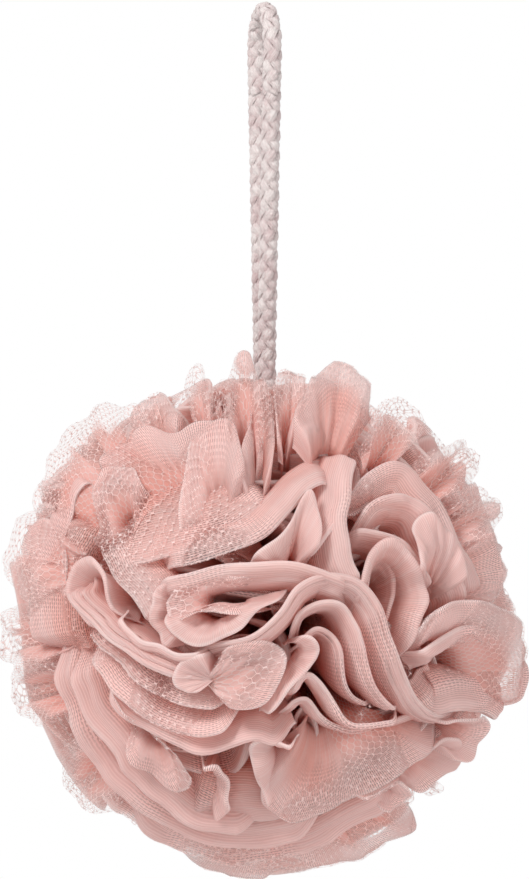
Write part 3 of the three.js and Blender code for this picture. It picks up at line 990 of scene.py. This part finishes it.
CRUMPLES = smooth_field(41, waves=24, low=25, high=75)
CRUMPLE_DEPTH = 2.2 * MM
BAND_RIPPLE = 0.009  # how far a rim wanders from its curve, in ball radii
PETAL_RIPPLE = 0.013


def even_curve(points, count):
    """A smooth curve through points in the view's plane, at a number of even steps."""
    line, at = smooth_path([(x, 0, z) for x, z in points], 0.01)
    where = np.linspace(0, at[-1], count)
    return np.stack([np.interp(where, at, line[:, 0]), np.interp(where, at, line[:, 2])], -1)


def front_direction(points):
    """The directions that lie behind points in the view's plane, on the ball's front."""
    across = np.linalg.norm(points, axis=-1, keepdims=True)
    inside = points * np.minimum(1, 0.995 / np.maximum(across, 1e-9))
    depth = np.sqrt(1 - (inside ** 2).sum(-1))
    return np.stack([inside[..., 0], -depth, inside[..., 1]], -1)


def soft_wave(rng, count, low, high):
    """A smooth random wave along a line, within about -1 to 1."""
    u = np.linspace(0, 1, count)
    size = sum(
        rng.normal() / k * np.cos(2 * math.pi * k * u / 2 + rng.uniform(0, 2 * math.pi))
        for k in range(low, high + 1)
    )
    return size / (np.abs(size).max() + 1e-9)


def petal_sheet(shape, rng):
    """Rows of points from deep between the pages, up to the fold's root and over to its rim."""
    rim = even_curve(shape["rim"], PETAL_COLUMNS)
    along = np.gradient(rim, axis=0)
    normal = unit(np.stack([-along[:, 1], along[:, 0]], -1))
    ripple = BAND_RIPPLE if shape["towards"] is None else PETAL_RIPPLE
    rim = rim + normal * (ripple * soft_wave(rng, PETAL_COLUMNS, 2, 8))[:, None]
    if shape["towards"] is None:
        root = rim + normal * shape["width"]
    else:
        root = rim + (np.array(shape["towards"]) - rim) * shape["reach"]
    u = np.linspace(0, 1, PETAL_COLUMNS)
    ends = smoothstep(u, 0, 0.12) * smoothstep(1 - u, 0, 0.12)
    high = shape["high"] * (1 - 0.10 * (1 - ends)) + 0.008 * soft_wave(rng, PETAL_COLUMNS, 1, 5)
    drift = soft_wave(rng, PETAL_COLUMNS, 1, 4)
    pleat = 0.5 * np.sin(2 * math.pi * (u * rng.uniform(4, 7) + 0.6 * drift) + rng.uniform(0, 6))
    pleat = pleat + 0.7 * soft_wave(rng, PETAL_COLUMNS, 8, 20)
    rows = []
    for s in np.linspace(0, 1, PETAL_ROWS):
        q = np.clip((s - HIDDEN_ROWS) / (1 - HIDDEN_ROWS), 0, 1)
        deep = np.clip(s / HIDDEN_ROWS, 0, 1)
        lean = smoothstep(q) * 0.5 + q * 0.5
        direction = unit(front_direction(root) * (1 - lean) + front_direction(rim) * lean)
        rise = math.sin(q * math.pi / 2) ** 0.8 - 0.10 * float(smoothstep(q, 0.8, 1.0))
        height = shape["low"] + (high - shape["low"]) * rise
        height = height * (0.55 + 0.45 * deep)
        crease = 0.75 * shape["pleats"] * pleat * (1 - 0.85 * q) * deep
        crease = crease + 0.45 * math.sin(math.pi * min(1.0, q * 1.05)) * np.sin(
            2 * math.pi * (q * shape["lines"] + 0.35 * drift)) * (shape["lines"] > 0)
        rows.append(direction * (height * RADIUS + crease * CREASE_DEPTH)[:, None])
    sheet = np.array(rows)
    crumple = (CRUMPLES(sheet + CENTRE) - 0.5) * smoothstep(np.linspace(0, 1, PETAL_ROWS), 0.2, 0.5)[:, None]
    share = 0.5 if shape["towards"] is None else 1.0
    sheet = sheet + unit(sheet) * (CRUMPLE_DEPTH * share * crumple)[..., None]
    return spread_for_cord(sheet)


def make_petals(name, shapes, seed, colour, deep):
    """The large folds of one sleeve that lie over its pages at the front."""
    rng = np.random.default_rng(seed)
    cloth = Cloth(patchiness=0.7, crease_shade_weight=0.45, shade_from=0.09)
    for shape in shapes:
        levels = petal_sheet(shape, rng)
        thickness = shape["thick"] * MM * (0.25 + 0.22 * np.sin(np.linspace(0, math.pi, PETAL_COLUMNS)))
        openness = np.full(levels.shape[:2], shape["opened"])
        cloth.add(levels, thickness, openness, ribs_along=shape["towards"] is None)
    piece = cloth.build(name, net_material(name + "_net", colour, deep))
    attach(piece, "pouf")


# the cloth colour, then the darker red of the painted shade deep in the folds
make_petals("netting_sleeve_3_petals", UPPER_PETALS, 31, (0.900, 0.650, 0.612, 1), (0.84, 0.32, 0.23, 1))
make_petals("netting_sleeve_4_petals", LOWER_PETALS, 32, (0.895, 0.640, 0.602, 1), (0.84, 0.31, 0.22, 1))


# -------- light and floor

def make_world():
    scene = bpy.context.scene
    world = bpy.data.worlds.new("studio")
    scene.world = world
    world.use_nodes = True
    n = Nodes(world.node_tree)
    world.node_tree.nodes.clear()
    seen = n.add("ShaderNodeBackground")
    seen.inputs[0].default_value = (1, 1, 1, 1)
    seen.inputs[1].default_value = 1.0
    light = n.add("ShaderNodeBackground")
    light.inputs[0].default_value = (1, 1, 1, 1)
    light.inputs[1].default_value = 0.60
    mix = n.add("ShaderNodeMixShader")
    n.put(mix.inputs[0], n.add("ShaderNodeLightPath").outputs["Is Camera Ray"])
    n.put(mix.inputs[1], light.outputs[0])
    n.put(mix.inputs[2], seen.outputs[0])
    n.put(n.add("ShaderNodeOutputWorld").inputs[0], mix.outputs[0])
    scene.view_settings.view_transform = "Standard"
    scene.cycles.transparent_max_bounces = 40
    scene.cycles.diffuse_bounces = 5


def make_lamp(name, place, size, power):
    data = bpy.data.lights.new(name, "AREA")
    data.shape = "DISK"
    data.size = size
    data.energy = power
    lamp = bpy.data.objects.new(name, data)
    lamp.location = place
    aim = np.array(CENTRE) - np.array(place)
    lamp.rotation_euler = mathutils.Vector(aim).to_track_quat("-Z", "Y").to_euler()
    bpy.context.collection.objects.link(lamp)


FLOOR_RADIUS = 0.9
FLOOR_DROP = 0.12


def make_floor():
    """A plain pale disc, well under the hanging object."""
    around = np.linspace(0, 2 * math.pi, 96, endpoint=False)
    rings = [1e-4, 0.35, 0.7, FLOOR_RADIUS]
    points = [(r * math.cos(a), r * math.sin(a), LOW[2] - FLOOR_DROP) for r in rings for a in around]
    floor = new_object("floor", points, grid_faces(len(rings), len(around), True))
    material, n, shader = new_material("pale_floor")
    grain = n.noise(n.add("ShaderNodeTexCoord").outputs["Object"], 90.0, 3.0)
    n.put(shader.inputs["Base Color"], n.mix(grain, (0.86, 0.86, 0.86, 1), (0.92, 0.92, 0.92, 1)))
    shader.inputs["Roughness"].default_value = 0.8
    floor.data.materials.append(material)


make_world()
make_floor()
make_lamp("key", (-0.75, -0.85, 0.8), 0.5, 16)
make_lamp("fill", (0.9, -0.8, 0.1), 0.8, 4)
